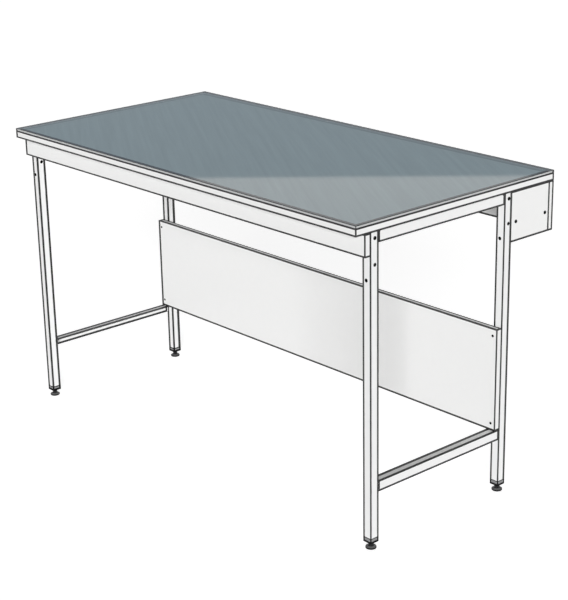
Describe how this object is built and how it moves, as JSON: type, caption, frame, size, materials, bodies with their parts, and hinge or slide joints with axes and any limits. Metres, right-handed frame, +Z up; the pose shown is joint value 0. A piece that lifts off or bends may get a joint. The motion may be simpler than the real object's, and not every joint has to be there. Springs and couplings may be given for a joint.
{
  "type": "weighing balance table",
  "caption": "Laboratory weighing balance table: tinted glass top on a board, square-tube frame with levelling feet, front apron, modesty panel and rear cable duct.",
  "frame": {"origin": "on the floor under the middle of the worktop", "axes": "+X along the table to its right end, +Y to the rear (cable duct), +Z up; the user sits at -Y"},
  "size_m": [1.5052, 0.75, 0.9],
  "materials": {
    "glass": "polished blue-grey tinted glass",
    "board": "off-white melamine laminate on board",
    "frame_paint": "light grey powder coat, satin",
    "foot_plastic": "mid-grey moulded plastic",
    "pad_plastic": "dark grey moulded plastic",
    "spindle_steel": "black zinc-plated steel",
    "black_screw": "black oxide steel",
    "plug_plastic": "black plastic"
  },
  "bodies": {
    "frame": {"glass_top": "glass", "worktop_board": "board", "front_apron": "board", "modesty_panel": "board", "duct_back_panel": "board", "duct_end_panel_left": "board", "upper_end_rail_left": "frame_paint", "lower_end_rail_left": "frame_paint", "apron_screw_left": "black_screw", "panel_screw_lower_left": "black_screw", "panel_screw_upper_left": "black_screw", "duct_end_panel_right": "board", "upper_end_rail_right": "frame_paint", "lower_end_rail_right": "frame_paint", "apron_screw_right": "black_screw", "panel_screw_lower_right": "black_screw", "panel_screw_upper_right": "black_screw", "upper_long_rail_front": "frame_paint", "upper_long_rail_rear": "frame_paint", "leg_front_left": "frame_paint", "duct_bracket_front_left": "frame_paint", "foot_insert_front_left": "foot_plastic", "frame_screw_front_left": "black_screw", "duct_screw_front_left": "black_screw", "leg_plug_outer_front_left": "plug_plastic", "leg_plug_inner_front_left": "plug_plastic", "leg_plug_front_front_left": "plug_plastic", "leg_front_right": "frame_paint", "duct_bracket_front_right": "frame_paint", "foot_insert_front_right": "foot_plastic", "frame_screw_front_right": "black_screw", "duct_screw_front_right": "black_screw", "leg_plug_outer_front_right": "plug_plastic", "leg_plug_inner_front_right": "plug_plastic", "leg_plug_front_front_right": "plug_plastic", "leg_rear_left": "frame_paint", "duct_bracket_rear_left": "frame_paint", "foot_insert_rear_left": "foot_plastic", "frame_screw_rear_left": "black_screw", "duct_screw_rear_left": "black_screw", "leg_plug_outer_rear_left": "plug_plastic", "leg_plug_inner_rear_left": "plug_plastic", "leg_plug_front_rear_left": "plug_plastic", "leg_rear_right": "frame_paint", "duct_bracket_rear_right": "frame_paint", "foot_insert_rear_right": "foot_plastic", "frame_screw_rear_right": "black_screw", "duct_screw_rear_right": "black_screw", "leg_plug_outer_rear_right": "plug_plastic", "leg_plug_inner_rear_right": "plug_plastic", "leg_plug_front_rear_right": "plug_plastic"},
    "pad_front_left": {"foot_pad_front_left": "pad_plastic"},
    "spindle_front_left": {"foot_spindle_front_left": "spindle_steel"},
    "pad_front_right": {"foot_pad_front_right": "pad_plastic"},
    "spindle_front_right": {"foot_spindle_front_right": "spindle_steel"},
    "pad_rear_left": {"foot_pad_rear_left": "pad_plastic"},
    "spindle_rear_left": {"foot_spindle_rear_left": "spindle_steel"},
    "pad_rear_right": {"foot_pad_rear_right": "pad_plastic"},
    "spindle_rear_right": {"foot_spindle_rear_right": "spindle_steel"}
  },
  "joints": [
    {"name": "foot_lift_front_left", "type": "slide", "parent": "frame", "child": "pad_front_left", "axis": [0, 0, 1], "range_m": [-0.02, 0.003]},
    {"name": "spindle_turn_front_left", "type": "hinge", "parent": "pad_front_left", "child": "spindle_front_left", "pos_m": [-0.735, -0.31, 0.02], "axis": [0, 0, 1], "range_deg": [-4801, 721]},
    {"name": "foot_lift_front_right", "type": "slide", "parent": "frame", "child": "pad_front_right", "axis": [0, 0, 1], "range_m": [-0.02, 0.003]},
    {"name": "spindle_turn_front_right", "type": "hinge", "parent": "pad_front_right", "child": "spindle_front_right", "pos_m": [0.735, -0.31, 0.02], "axis": [0, 0, 1], "range_deg": [-4801, 721]},
    {"name": "foot_lift_rear_left", "type": "slide", "parent": "frame", "child": "pad_rear_left", "axis": [0, 0, 1], "range_m": [-0.02, 0.003]},
    {"name": "spindle_turn_rear_left", "type": "hinge", "parent": "pad_rear_left", "child": "spindle_rear_left", "pos_m": [-0.735, 0.19, 0.02], "axis": [0, 0, 1], "range_deg": [-4801, 721]},
    {"name": "foot_lift_rear_right", "type": "slide", "parent": "frame", "child": "pad_rear_right", "axis": [0, 0, 1], "range_m": [-0.02, 0.003]},
    {"name": "spindle_turn_rear_right", "type": "hinge", "parent": "pad_rear_right", "child": "spindle_rear_right", "pos_m": [0.735, 0.19, 0.02], "axis": [0, 0, 1], "range_deg": [-4801, 721]}
  ],
  "couplings": [
    {"joint": "spindle_turn_front_left", "follows": "foot_lift_front_left", "rad_per_m": 4188.8},
    {"joint": "spindle_turn_front_right", "follows": "foot_lift_front_right", "rad_per_m": 4188.8},
    {"joint": "spindle_turn_rear_left", "follows": "foot_lift_rear_left", "rad_per_m": 4188.8},
    {"joint": "spindle_turn_rear_right", "follows": "foot_lift_rear_right", "rad_per_m": 4188.8}
  ]
}
